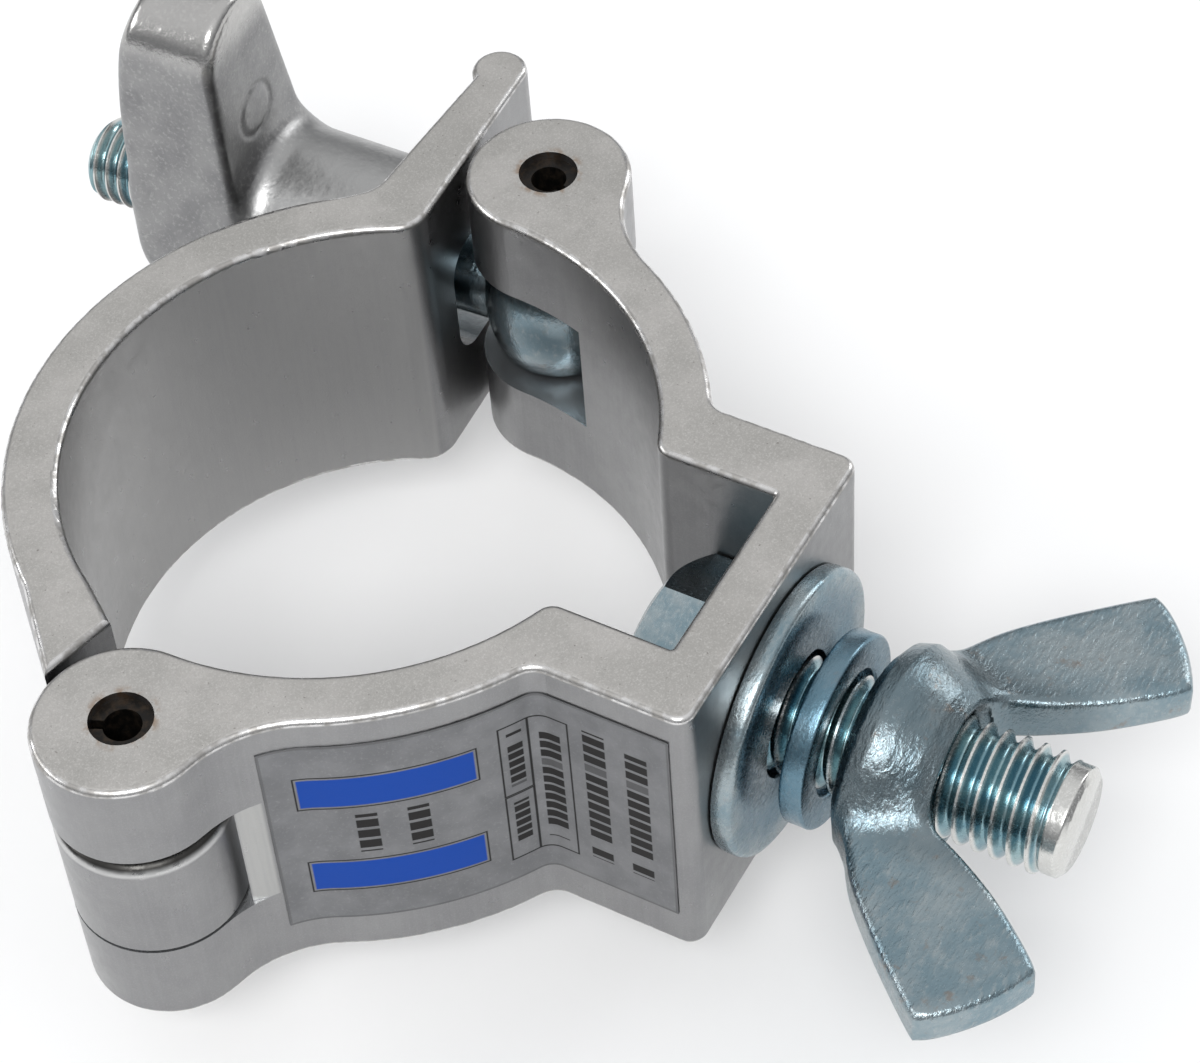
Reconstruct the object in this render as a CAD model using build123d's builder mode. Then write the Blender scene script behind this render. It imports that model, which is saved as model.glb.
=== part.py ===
from build123d import *
import os
from math import asin, atan2, cos, degrees, radians, sin, sqrt

# Pipe clamp: a half coupler for a 2 inch tube, with an M8 swing bolt and an M10 fixing bolt.
# Millimetres. The tube axis is Z, with the origin on it at the middle of the clamp's width.
# The fixing bolt points along -Y. The hinge is on the -X side, the swing bolt on the +X side.

os.makedirs("parts", exist_ok=True)

# ---- driving dimensions ----------------------------------------------------------------
WIDTH = 29.0  # along the tube
TUBE_R = 25.4  # the tube seat in the saddle
HALF = WIDTH / 2
EDGE_R = 0.6  # tumbled edges of the two castings

PIN_X = 32.4  # both pins, left and right of the tube axis
PIN_Y = -1.0
PIN_R = 2.5
PIN_HOLE_RUN = 2.57  # running bore on a pin
PIN_RECESS = 0.8  # pins end below the ears' faces
PIN_WALL = 1.0
PIN_SLOT = 0.8

EAR_R = 7.02  # ear circles touch the tube seat from outside
ARM_R = 30.25  # outer arc of the saddle
ARM_Y = 0.7
EAR_BLEND = 11.0
FORK_HALF = 5.9  # half of the slot between an ear's two prongs
HINGE_FLOOR = -8.6  # bottom of the fork slots
SWING_FLOOR = -7.9
RUN_OUT = ((-28.95, -10.75), (-32.05, -7.55))  # line of the flat that the hinge slot's cutter leaves

BASE_HALF = 14.6  # half width of the flat base
BASE_Y = -38.8
PLATE = 4.4  # base plate under the bolt's head
POCKET_HALF = 8.5
BOLT_HOLE_R = 5.5

JAW_X, JAW_Y = -1.08, -3.48  # centre of the jaw's arcs, with the jaw shut on itself
JAW_IN_R = 24.5
JAW_OUT_R = 29.05
TONGUE_R = 7.0
TONGUE_TOP, TONGUE_LOW = 4.9, -5.6
TONGUE_RIM = 1.2  # rounding of the tongue's upper edge
TONGUE_ENDS = (24.0, 4.8)  # angles the tongue's free arc keeps from the outer arc and the +X axis
FOOT_END_X, FOOT_END_Y, FOOT_END_R = 42.2, 9.35, 2.4
FOOT_SLOT_X = 26.7  # closed end of the open slot for the swing bolt
FOOT_SLOT_HALF = 6.0

THREAD_R = 5.0  # M10 fixing bolt
NUT_BORE_R = 5.08
SWING_THREAD_R = 4.0  # M8 swing bolt
SWING_BORE_R = 4.08
SHANK_R = 3.85  # plain shank of the swing bolt
SWING_ANGLE = 93.0  # direction of the swing bolt, from +X
EYE_R = 6.5
EYE_HALF = 5.5
SWING_LENGTH = 46.4  # pin axis to thread end

BOLT_LENGTH = 30.0  # M10 x 30 fixing bolt
HEAD_AF = 16.6
HEAD_HEIGHT = 6.4

CLEAR = 100.0  # larger than the clamp, for cuts

HINGE = (-PIN_X, PIN_Y)
SWING = (PIN_X, PIN_Y)


def on_circle(centre, radius, angle):
    """The point at an angle in degrees on a circle."""
    return (
        centre[0] + radius * cos(radians(angle)),
        centre[1] + radius * sin(radians(angle)),
    )


def tangent_point(point, centre, radius):
    """Where the line from a point touches a circle, on the circle's right-hand side."""
    dx, dy = centre[0] - point[0], centre[1] - point[1]
    away = sqrt(dx**2 + dy**2)
    bearing = atan2(dy, dx) - asin(radius / away)
    reach = sqrt(away**2 - radius**2)
    return (point[0] + reach * cos(bearing), point[1] + reach * sin(bearing))


def fillet_near(sketch, points, radius, reach=1.5):
    """Rounds the sketch's corners that lie within reach of the points."""
    corners = [
        v
        for v in sketch.vertices()
        if any((Vector(*p) - Vector(v.X, v.Y)).length < reach for p in points)
    ]
    fillet(corners, radius)


# ---- saddle: extruded half with two forked ears, a bolt pocket and a flat base ------------
with BuildPart() as saddle:
    with BuildSketch() as saddle_profile:
        with Locations((0, ARM_Y)):
            Circle(ARM_R)
        # the arms end on the lines from the tube axis through the two pins
        with BuildSketch(mode=Mode.INTERSECT):
            with BuildLine():
                Polyline(
                    (0, 0),
                    (2 * HINGE[0], 2 * HINGE[1]),
                    (2 * HINGE[0], -CLEAR),
                    (2 * SWING[0], -CLEAR),
                    (2 * SWING[0], 2 * SWING[1]),
                    close=True,
                )
            make_face()
        with BuildLine():
            Polyline(
                (-BASE_HALF, BASE_Y),
                (BASE_HALF, BASE_Y),
                (BASE_HALF, -TUBE_R + 2),
                (-BASE_HALF, -TUBE_R + 2),
                close=True,
            )
        make_face()
        with Locations(HINGE, SWING):
            Circle(EAR_R)
        Circle(TUBE_R, mode=Mode.SUBTRACT)
        with Locations((0, (BASE_Y + PLATE) / 2)):
            Rectangle(2 * POCKET_HALF, -(BASE_Y + PLATE), mode=Mode.SUBTRACT)

        arm_foot_y = ARM_Y - sqrt(ARM_R**2 - BASE_HALF**2)
        mouth_y = -sqrt(TUBE_R**2 - POCKET_HALF**2)
        ear_low_y = -7.0
        ear_root_x = sqrt(ARM_R**2 - (ear_low_y - ARM_Y) ** 2)
        fillet_near(
            saddle_profile,
            [(-ear_root_x, ear_low_y), (ear_root_x, ear_low_y)],
            EAR_BLEND,
            2.5,
        )
        fillet_near(
            saddle_profile, [(-BASE_HALF, arm_foot_y), (BASE_HALF, arm_foot_y)], 2.0
        )
        fillet_near(
            saddle_profile, [(-POCKET_HALF, mouth_y), (POCKET_HALF, mouth_y)], 1.6
        )
        fillet_near(
            saddle_profile, [(-BASE_HALF, BASE_Y), (BASE_HALF, BASE_Y)], 1.5
        )
        fillet_near(
            saddle_profile,
            [(-POCKET_HALF, BASE_Y + PLATE), (POCKET_HALF, BASE_Y + PLATE)],
            0.2,
        )
    extrude(amount=HALF, both=True)
    rims = saddle.faces().sort_by(Axis.Z)
    fillet(rims[0].edges() + rims[-1].edges(), EDGE_R)
    with Locations((HINGE[0] + 2, HINGE_FLOOR + CLEAR / 2, 0)):
        Box(24, CLEAR, 2 * FORK_HALF, mode=Mode.SUBTRACT)
    with Locations((SWING[0] - 2, SWING_FLOOR + CLEAR / 2, 0)):
        Box(24, CLEAR, 2 * FORK_HALF, mode=Mode.SUBTRACT)
    with BuildSketch(Plane.XY.offset(-FORK_HALF)):
        with BuildLine():
            (near_x, near_y), (far_x, far_y) = RUN_OUT
            Polyline(*RUN_OUT, (far_x - 1, far_y - 1), (near_x - 1, near_y - 1), close=True)
        make_face()
    extrude(amount=2 * FORK_HALF, mode=Mode.SUBTRACT)
    with BuildSketch(Plane.XY.offset(-HALF)):
        with Locations(HINGE, SWING):
            Circle(PIN_R)
    extrude(amount=WIDTH, mode=Mode.SUBTRACT)
    with BuildSketch(Plane.XZ.offset(-BASE_Y + 1)):
        Circle(BOLT_HOLE_R)
    extrude(amount=-(PLATE + 2), mode=Mode.SUBTRACT)
saddle.part.label = "saddle"
export_step(saddle.part, "parts/saddle.step")

# ---- hinged jaw: arc, hinge tongue and slotted foot ---------------------------------------
JAW = (JAW_X, JAW_Y)
SHOULDER_IN = (-24.9, 5.05)
SHOULDER_OUT = (-31.4, 6.65)
FLARE = on_circle(JAW, JAW_OUT_R, 145)
FOOT_ROOT = on_circle(JAW, JAW_OUT_R, 35)
FOOT_OUT_ROOT = (24.6, 11.35)
FOOT_OUT_TIP = (FOOT_END_X - 0.9, 10.8)
FOOT_IN_ROOT = (21.5, 5.7)
FOOT_IN_TIP = tangent_point(FOOT_IN_ROOT, (FOOT_END_X, FOOT_END_Y), FOOT_END_R)

with BuildPart() as hinged_jaw:
    with BuildSketch() as jaw_profile:
        with BuildLine():
            Line(SHOULDER_OUT, FLARE)
            ThreePointArc(FLARE, on_circle(JAW, JAW_OUT_R, 90), FOOT_ROOT)
            Polyline(FOOT_ROOT, FOOT_OUT_ROOT, FOOT_OUT_TIP)
            Line(FOOT_OUT_TIP, (FOOT_END_X, FOOT_END_Y))
            Line((FOOT_END_X, FOOT_END_Y), FOOT_IN_TIP)
            Polyline(FOOT_IN_TIP, FOOT_IN_ROOT, SHOULDER_IN, SHOULDER_OUT)
        make_face()
        with Locations((FOOT_END_X, FOOT_END_Y)):
            Circle(FOOT_END_R)
        with Locations(JAW):
            Circle(JAW_IN_R, mode=Mode.SUBTRACT)
        # the inner face runs straight from the arc to the shoulder
        with BuildLine():
            Polyline(
                on_circle(JAW, JAW_IN_R, 150),
                SHOULDER_IN,
                (SHOULDER_IN[0] + 4, SHOULDER_IN[1] - 1),
                close=True,
            )
        make_face(mode=Mode.SUBTRACT)
        fillet_near(jaw_profile, [FOOT_ROOT], 4.0, 0.5)
        fillet_near(jaw_profile, [FOOT_OUT_ROOT], 3.0, 0.8)
        fillet_near(jaw_profile, [FOOT_IN_ROOT], 3.0, 0.8)
    extrude(amount=HALF, both=True)
    rims = hinged_jaw.faces().sort_by(Axis.Z)
    fillet(rims[0].edges() + rims[-1].edges(), EDGE_R)
    with BuildSketch(Plane.XY.offset(TONGUE_LOW)):
        with Locations(HINGE):
            Circle(TONGUE_R)
        out_bearing = degrees(
            atan2(SHOULDER_OUT[1] - HINGE[1], SHOULDER_OUT[0] - HINGE[0])
        )
        with BuildLine():
            Polyline(
                HINGE,
                on_circle(HINGE, TONGUE_R, out_bearing + TONGUE_ENDS[0]),
                SHOULDER_OUT,
                (SHOULDER_OUT[0] + 1.3, SHOULDER_OUT[1] + 1.5),
                (SHOULDER_IN[0] + 0.2, SHOULDER_IN[1] + 0.6),
                SHOULDER_IN,
                on_circle(HINGE, TONGUE_R, -TONGUE_ENDS[1]),
                close=True,
            )
        make_face()
        with Locations(JAW):
            Circle(JAW_IN_R, mode=Mode.SUBTRACT)
    extrude(amount=TONGUE_TOP - TONGUE_LOW)
    # the tongue's upper edge is rounded all along its free arc
    rim_start = radians(out_bearing + TONGUE_ENDS[0])
    rim_plane = Plane(
        origin=(*HINGE, TONGUE_TOP),
        x_dir=(cos(rim_start), sin(rim_start), 0),
        z_dir=(sin(rim_start), -cos(rim_start), 0),
    )
    with BuildSketch(rim_plane):
        with Locations((TONGUE_R - TONGUE_RIM, -TONGUE_RIM)):
            Rectangle(TONGUE_RIM + 1, TONGUE_RIM + 1, align=(Align.MIN, Align.MIN))
            Circle(TONGUE_RIM, mode=Mode.SUBTRACT)
    revolve(
        axis=Axis((*HINGE, 0), (0, 0, 1)),
        revolution_arc=360 - out_bearing - sum(TONGUE_ENDS),
        mode=Mode.SUBTRACT,
    )
    with BuildSketch(Plane.XY.offset(-HALF)):
        with Locations(HINGE):
            Circle(PIN_HOLE_RUN)
    extrude(amount=WIDTH, mode=Mode.SUBTRACT)
    with BuildSketch(Plane.XZ.offset(-CLEAR / 2)):
        slot_length = CLEAR / 2
        with Locations((FOOT_SLOT_X + slot_length / 2, 0)):
            RectangleRounded(slot_length, 2 * FOOT_SLOT_HALF, 3.0)
    extrude(amount=CLEAR / 2 + 2, mode=Mode.SUBTRACT)
hinged_jaw.part.label = "hinged_jaw"
export_step(hinged_jaw.part, "parts/hinged_jaw.step")


# ---- slotted roll pins --------------------------------------------------------------------
def roll_pin(centre, slot_angle):
    """A hollow pin rolled from strip, with its open slot at an angle in degrees."""
    length = WIDTH - 2 * PIN_RECESS
    with BuildPart() as pin:
        with BuildSketch(Plane.XY.offset(-length / 2)):
            with Locations(centre):
                Circle(PIN_R)
                Circle(PIN_R - PIN_WALL, mode=Mode.SUBTRACT)
            with Locations(Location((*centre, 0), (0, 0, slot_angle))):
                Rectangle(
                    PIN_R + 1,
                    PIN_SLOT,
                    align=(Align.MIN, Align.CENTER),
                    mode=Mode.SUBTRACT,
                )
        extrude(amount=length)
    return pin.part


hinge_pin = roll_pin(HINGE, 115)
hinge_pin.label = "hinge_pin"
export_step(hinge_pin, "parts/hinge_pin.step")

swing_pin = roll_pin(SWING, 250)
swing_pin.label = "swing_pin"
export_step(swing_pin, "parts/swing_pin.step")

# ---- swing bolt: eye, plain shank and M8 thread -------------------------------------------
THREAD_START = 14.0
along_swing = (cos(radians(SWING_ANGLE)), sin(radians(SWING_ANGLE)), 0)
swing_plane = Plane(origin=(*SWING, 0), x_dir=(0, 0, 1), z_dir=along_swing)

with BuildPart() as swing_bolt:
    with BuildSketch(Plane.XY.offset(-EYE_HALF)):
        with Locations(SWING):
            Circle(EYE_R)
    extrude(amount=2 * EYE_HALF)
    fillet(swing_bolt.edges(), 1.6)
    with BuildSketch(swing_plane):
        Circle(SHANK_R)
    extrude(amount=THREAD_START)
    with BuildSketch(swing_plane.offset(THREAD_START)):
        Circle(SWING_THREAD_R)
    extrude(amount=SWING_LENGTH - THREAD_START)
    tip = swing_bolt.faces().filter_by(GeomType.PLANE).sort_by(Axis.Y)[-1]
    chamfer(tip.edges(), 0.8)
    with BuildSketch(Plane.XY.offset(-CLEAR / 2)):
        with Locations(SWING):
            Circle(PIN_HOLE_RUN)
    extrude(amount=CLEAR, mode=Mode.SUBTRACT)
swing_bolt.part.label = "swing_bolt"
export_step(swing_bolt.part, "parts/swing_bolt.step")

# ---- clamp wing nut: cast aluminium, two thick lobes and a long boss ------------------------
BOSS_START = 14.2  # along the swing bolt, from its pin
BOSS_R = 8.0
LOBE_START = 27.6
LOBE_THICK = 11.2
LOBE_TIP_R = 4.9
LOBE_TIP_AT = 21.6
LOBE_TILT = 6.5  # turned about the bolt

with BuildPart() as clamp_wing_nut:
    with BuildSketch(swing_plane.offset(BOSS_START)):
        Circle(BOSS_R)
    extrude(amount=LOBE_START - BOSS_START + 1, taper=-1.5)
    with BuildSketch(swing_plane.offset(LOBE_START)):
        Circle(BOSS_R + 1)
        with Locations(
            on_circle((0, 0), LOBE_TIP_AT, -LOBE_TILT),
            on_circle((0, 0), LOBE_TIP_AT, 180 - LOBE_TILT),
        ):
            Circle(LOBE_TIP_R)
        make_hull()
    extrude(amount=LOBE_THICK)
    lobe_rims = clamp_wing_nut.faces().filter_by(GeomType.PLANE).sort_by(Axis.Y)
    fillet(lobe_rims[-1].edges(), 2.2)
    with BuildSketch(swing_plane):
        Circle(SWING_BORE_R)
    extrude(amount=SWING_LENGTH, mode=Mode.SUBTRACT)
clamp_wing_nut.part.label = "clamp_wing_nut"
export_step(clamp_wing_nut.part, "parts/clamp_wing_nut.step")

# ---- fixing bolt: M10 x 30 hexagon head in the pocket ---------------------------------------
SEAT_Y = BASE_Y + PLATE
bolt_plane = Plane(origin=(0, SEAT_Y, 0), x_dir=(0, 0, 1), z_dir=(0, -1, 0))

with BuildPart() as fixing_bolt:
    # two flats face the pocket's walls, so the head can't turn
    with BuildSketch(bolt_plane):
        RegularPolygon(HEAD_AF / 2, 6, major_radius=False, rotation=0)
    extrude(amount=-HEAD_HEIGHT)
    # the head's outer face is turned to a cone
    corner_r = HEAD_AF / sqrt(3)
    with BuildSketch():
        with BuildLine():
            Polyline(
                (0, SEAT_Y),
                (corner_r + 0.01, SEAT_Y),
                (corner_r + 0.01, SEAT_Y + HEAD_HEIGHT - 0.75),
                (HEAD_AF / 2 - 0.3, SEAT_Y + HEAD_HEIGHT),
                (0, SEAT_Y + HEAD_HEIGHT),
                close=True,
            )
        make_face()
    revolve(axis=Axis.Y, mode=Mode.INTERSECT)
    with BuildSketch(bolt_plane):
        Circle(THREAD_R)
    extrude(amount=BOLT_LENGTH)
    chamfer(
        fixing_bolt.faces().filter_by(GeomType.PLANE).sort_by(Axis.Y)[0].edges(), 0.8
    )
fixing_bolt.part.label = "fixing_bolt"
export_step(fixing_bolt.part, "parts/fixing_bolt.step")

# ---- washers --------------------------------------------------------------------------------
FLAT_R = 12.1
FLAT_THICK = 1.8
SPRING_R = 8.15
SPRING_THICK = 2.1
SPRING_START = 42.65  # distance from the tube axis
SPRING_GAP = 0.9
SPRING_SLANT = 25.0

with BuildPart() as flat_washer:
    with BuildSketch(Plane.XZ.offset(-BASE_Y)):
        Circle(FLAT_R)
        Circle(THREAD_R + 0.4, mode=Mode.SUBTRACT)
    extrude(amount=FLAT_THICK)
    fillet(flat_washer.edges().filter_by(GeomType.CIRCLE).sort_by(Axis.Y)[0:2], 0.35)
flat_washer.part.label = "flat_washer"
export_step(flat_washer.part, "parts/flat_washer.step")

with BuildPart() as spring_washer:
    with BuildSketch(Plane.XZ.offset(SPRING_START)):
        Circle(SPRING_R)
        Circle(THREAD_R + 0.25, mode=Mode.SUBTRACT)
    extrude(amount=SPRING_THICK)
    split_plane = Plane(
        origin=(SPRING_R, -SPRING_START - SPRING_THICK / 2, 0),
        x_dir=(1, 0, 0),
        z_dir=(0, sin(radians(SPRING_SLANT)), cos(radians(SPRING_SLANT))),
    )
    with BuildSketch(split_plane.offset(-SPRING_GAP / 2)):
        Rectangle(2 * (SPRING_R - THREAD_R) + 2, 4 * SPRING_THICK)
    extrude(amount=SPRING_GAP, mode=Mode.SUBTRACT)
spring_washer.part.label = "spring_washer"
export_step(spring_washer.part, "parts/spring_washer.step")

# ---- fixing wing nut: forged steel, round hub and two flat wings ----------------------------
HUB_START, HUB_END = 46.9, 54.2  # distances from the tube axis
WING_THICK = 4.0
WING_TILT = 2.0
wing_outline = [
    (0, 49.6),
    (8.6, 48.6),
    (12.9, 50.8),
    (17.1, 54.6),
    (22.9, 60.7),
    (21.5, 63.1),
    (18.6, 65.6),
    (14.9, 67.5),
    (12.6, 65.0),
    (10.0, 61.6),
    (7.6, 57.4),
    (6.2, 53.4),
    (0, 53.4),
]

with BuildPart() as fixing_wing_nut:
    with BuildSketch(Plane.XY):
        with BuildLine():
            Polyline(
                (0, -HUB_START),
                (7.6, -HUB_START),
                (9.0, -HUB_START - 1.3),
                (8.7, -HUB_START - 3.2),
                (6.9, -HUB_END + 0.6),
                (6.3, -HUB_END),
                (0, -HUB_END),
                close=True,
            )
        make_face()
    revolve(axis=Axis.Y)
    wing_plane = Plane.XY.rotated((0, -WING_TILT, 0))
    with BuildSketch(wing_plane.offset(-WING_THICK / 2)):
        for side in (1, -1):
            with BuildLine():
                Polyline(*[(side * x, -y) for x, y in wing_outline], close=True)
            make_face()
    extrude(amount=WING_THICK)
    with BuildSketch(Plane.XZ.offset(HUB_START - 1)):
        Circle(NUT_BORE_R)
    extrude(amount=HUB_END - HUB_START + 2, mode=Mode.SUBTRACT)
fixing_wing_nut.part.label = "fixing_wing_nut"
export_step(fixing_wing_nut.part, "parts/fixing_wing_nut.step")

# ---- rating label: film that follows the arm and the side of the base -----------------------
FILM = 0.12
LABEL_TOP, LABEL_LOW = 11.6, -10.4
LABEL_START = -159.5  # bearing of the label's end on the arm
LABEL_END_Y = -37.2
ARM_CENTRE = (0, ARM_Y)

with BuildPart() as rating_label:
    with BuildSketch(Plane.XY.offset(LABEL_LOW)):
        add(saddle_profile.sketch_local)
        offset(amount=FILM)
        add(saddle_profile.sketch_local, mode=Mode.SUBTRACT)
        # keeps the stretch of the outline that the label covers
        with BuildLine():
            Polyline(
                on_circle(ARM_CENTRE, ARM_R - 1.5, LABEL_START),
                on_circle(ARM_CENTRE, ARM_R + 10, LABEL_START),
                (-2 * BASE_HALF, LABEL_END_Y),
                (1 - BASE_HALF, LABEL_END_Y),
                on_circle(ARM_CENTRE, ARM_R - 1.5, -118),
                on_circle(ARM_CENTRE, ARM_R - 1.5, -138),
                close=True,
            )
        make_face(mode=Mode.INTERSECT)
    extrude(amount=LABEL_TOP - LABEL_LOW)
rating_label.part.label = "rating_label"
export_step(rating_label.part, "parts/rating_label.step")
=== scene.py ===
import math

import bmesh
import bpy
import numpy as np
from mathutils import Matrix, Vector


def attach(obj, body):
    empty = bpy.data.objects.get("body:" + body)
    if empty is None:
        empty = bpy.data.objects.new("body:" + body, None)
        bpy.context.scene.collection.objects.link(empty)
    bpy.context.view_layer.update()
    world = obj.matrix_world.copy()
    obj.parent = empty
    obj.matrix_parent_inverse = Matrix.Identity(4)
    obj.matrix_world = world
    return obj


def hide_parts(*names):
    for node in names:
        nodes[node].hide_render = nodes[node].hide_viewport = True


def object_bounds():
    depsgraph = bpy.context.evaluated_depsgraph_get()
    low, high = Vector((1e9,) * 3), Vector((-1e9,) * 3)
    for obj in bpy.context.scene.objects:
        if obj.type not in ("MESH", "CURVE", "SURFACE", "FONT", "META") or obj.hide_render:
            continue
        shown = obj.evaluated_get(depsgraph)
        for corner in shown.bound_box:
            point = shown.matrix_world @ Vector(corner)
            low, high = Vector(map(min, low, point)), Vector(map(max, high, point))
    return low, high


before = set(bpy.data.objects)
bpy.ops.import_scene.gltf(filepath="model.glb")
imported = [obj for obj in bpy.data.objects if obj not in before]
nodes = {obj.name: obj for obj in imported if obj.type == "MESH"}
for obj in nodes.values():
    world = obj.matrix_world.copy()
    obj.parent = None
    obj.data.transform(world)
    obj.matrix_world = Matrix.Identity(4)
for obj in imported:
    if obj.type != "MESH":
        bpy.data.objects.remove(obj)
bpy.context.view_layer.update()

# All sizes below are in millimetres, in the CAD frame; new_mesh turns them into metres.
MM = 0.001

# ---- dimensions shared with the CAD parts --------------------------------------------------
UP = Vector((0, 0, 1))
OUT = Vector((0, -1, 0))  # along the fixing bolt, from its head to its tip
SWING_PIN = Vector((32.4, -1.0, 0.0))
HINGE_PIN = Vector((-32.4, -1.0, 0.0))
SWING_ANGLE = math.radians(93.0)
ALONG_SWING = Vector((math.cos(SWING_ANGLE), math.sin(SWING_ANGLE), 0.0))
M10 = (5.0, 1.5)  # thread radius and pitch
M8 = (4.0, 1.25)
HEAD_SEAT_Y = -34.4
BOLT_LENGTH = 30.0
SWING_LENGTH = 46.4
SHANK_END = 14.2  # from the swing pin: where the shank turns into thread and the cast nut starts


# ---- mesh helpers ----------------------------------------------------------------------------
def finish_mesh(bm, name, sharp):
    """A smooth-shaded object from a bmesh in millimetres, with edges over an angle left sharp."""
    bmesh.ops.remove_doubles(bm, verts=bm.verts, dist=1e-4)
    bmesh.ops.dissolve_degenerate(bm, edges=bm.edges, dist=1e-5)
    bmesh.ops.recalc_face_normals(bm, faces=bm.faces)
    limit = math.radians(sharp)
    for face in bm.faces:
        face.smooth = True
    for edge in bm.edges:
        if len(edge.link_faces) == 2 and edge.calc_face_angle(0.0) > limit:
            edge.smooth = False
    bmesh.ops.scale(bm, vec=(MM, MM, MM), verts=bm.verts)
    mesh = bpy.data.meshes.new(name)
    bm.to_mesh(mesh)
    bm.free()
    obj = bpy.data.objects.new(name, mesh)
    bpy.context.scene.collection.objects.link(obj)
    return obj


def new_mesh(name, verts, faces, sharp):
    """An object from vertices and faces; a face that has shrunk to an edge is left out."""
    bm = bmesh.new()
    made = [bm.verts.new(v) for v in verts]
    for f in faces:
        if len(set(f)) > 2:
            bm.faces.new([made[i] for i in f])
    return finish_mesh(bm, name, sharp)


def heading(angle):
    """The unit vector in the XY plane at an angle from +X."""
    return Vector((math.cos(angle), math.sin(angle)))


def axis_frame(along):
    """Two unit vectors square to a direction, right-handed with it."""
    helper = UP if abs(along.z) < 0.9 else Vector((1, 0, 0))
    first = helper.cross(along).normalized()
    return first, along.cross(first).normalized()


def lathe(name, profile, origin, along, segments, sharp):
    """A ring turned from a closed outline of (radius, distance along the axis) points."""
    first, second = axis_frame(along)
    rows = len(profile)
    verts, faces = [], []
    for r, t in profile:
        for i in range(segments):
            a = math.tau * i / segments
            side = first * math.cos(a) + second * math.sin(a)
            verts.append(origin + along * t + side * r)
    for j in range(rows):
        k = (j + 1) % rows
        for i in range(segments):
            n = (i + 1) % segments
            faces.append((j * segments + i, j * segments + n, k * segments + n, k * segments + i))
    return new_mesh(name, verts, faces, sharp)


def smoothstep(low, high, x):
    t = min(max((x - low) / (high - low), 0.0), 1.0)
    return t * t * (3 - 2 * t)


def threaded_rod(name, origin, along, start, end, thread, point, plain_to=None, plain_r=None):
    """A rod with a rolled right-hand thread. Its rows of vertices follow the helix.

    point is the length of the smooth end, plain_to the end of the shank of radius plain_r.
    """
    major, pitch = thread
    root_depth, crest_wear = 0.613 * pitch, 0.12
    crest_at, steepness = 0.86, 1.7  # where a flank reaches the crest, and how hollow it is
    fade_before, fade_after = 0.5, 0.7  # how the shank blends into the thread
    chamfer, chamfer_slope = 1.0, 1.2
    root = major - root_depth
    ridge = major - crest_wear - root
    point_r = major - 0.48
    first, second = axis_frame(along)
    segments, per_turn = 72, 16
    row = pitch / per_turn
    rows = int((end - start) / row) + per_turn + 3
    verts, faces = [], []
    for j in range(rows):
        for i in range(segments + 1):
            turn = i / segments
            t = start - pitch + j * row + turn * pitch
            t = min(max(t, start), end)
            wave = 1 - abs(2 * (((t - start) / pitch - turn) % 1.0) - 1)
            r = root + ridge * min(wave / crest_at, 1.0) ** steepness
            if plain_to is not None:
                share = smoothstep(plain_to - fade_before, plain_to + fade_after, t)
                r = plain_r * (1 - share) + r * share
            share = smoothstep(end - point, end - 0.65 * point, t)
            r = r * (1 - share) + point_r * share
            r = min(r, major - chamfer + chamfer_slope * (end - t))
            a = math.tau * turn
            side = first * math.cos(a) + second * math.sin(a)
            verts.append(origin + along * t + side * r)
    for j in range(rows - 1):
        for i in range(segments):
            a = j * (segments + 1) + i
            faces.append((a, a + 1, a + segments + 2, a + segments + 1))
    bm = bmesh.new()
    made = [bm.verts.new(v) for v in verts]
    for f in faces:
        bm.faces.new([made[i] for i in f])
    bmesh.ops.remove_doubles(bm, verts=bm.verts, dist=1e-4)
    bmesh.ops.dissolve_degenerate(bm, edges=bm.edges, dist=1e-5)
    loose = [v for v in bm.verts if not v.link_faces]
    bmesh.ops.delete(bm, geom=loose, context="VERTS")
    bmesh.ops.holes_fill(bm, edges=[e for e in bm.edges if e.is_boundary], sides=0)
    return finish_mesh(bm, name, 50.0)


def union(obj, other):
    """The exact union of two objects, kept in obj; the other one is removed."""
    mod = obj.modifiers.new("join", "BOOLEAN")
    mod.operation, mod.object, mod.solver = "UNION", other, "EXACT"
    bpy.context.view_layer.update()
    made = bpy.data.meshes.new_from_object(obj.evaluated_get(bpy.context.evaluated_depsgraph_get()))
    obj.modifiers.clear()
    obj.data = made
    bpy.data.objects.remove(other)
    return obj


def bevel(obj, width, angle):
    """Narrow bevels on the edges that are sharper than an angle."""
    mod = obj.modifiers.new("edges", "BEVEL")
    mod.width, mod.segments = width * MM, 2
    mod.limit_method, mod.angle_limit = "ANGLE", math.radians(angle)


# ---- solids from distance fields: castings and forgings with blended joins ---------------------
def soft_min(a, b, k):
    """The smaller of two distances, with a fillet about k wide where they meet."""
    h = np.clip(0.5 + 0.5 * (b - a) / k, 0, 1)
    return b * (1 - h) + a * h - k * h * (1 - h)


def rounded_both(a, b, r):
    """Where two distances meet, an edge of radius r."""
    a, b = a + r, b + r
    return np.minimum(np.maximum(a, b), 0) + np.hypot(np.maximum(a, 0), np.maximum(b, 0)) - r


def uneven_capsule(x, y, r1, r2, h):
    """Distance to the hull of a circle r1 at the origin and a circle r2 at (0, h)."""
    x = np.abs(x)
    b = (r1 - r2) / h
    a = math.sqrt(1 - b * b)
    k = -b * x + a * y
    low = np.hypot(x, y) - r1
    high = np.hypot(x, y - h) - r2
    return np.where(k < 0, low, np.where(k > a * h, high, a * x + b * y - r1))


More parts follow.
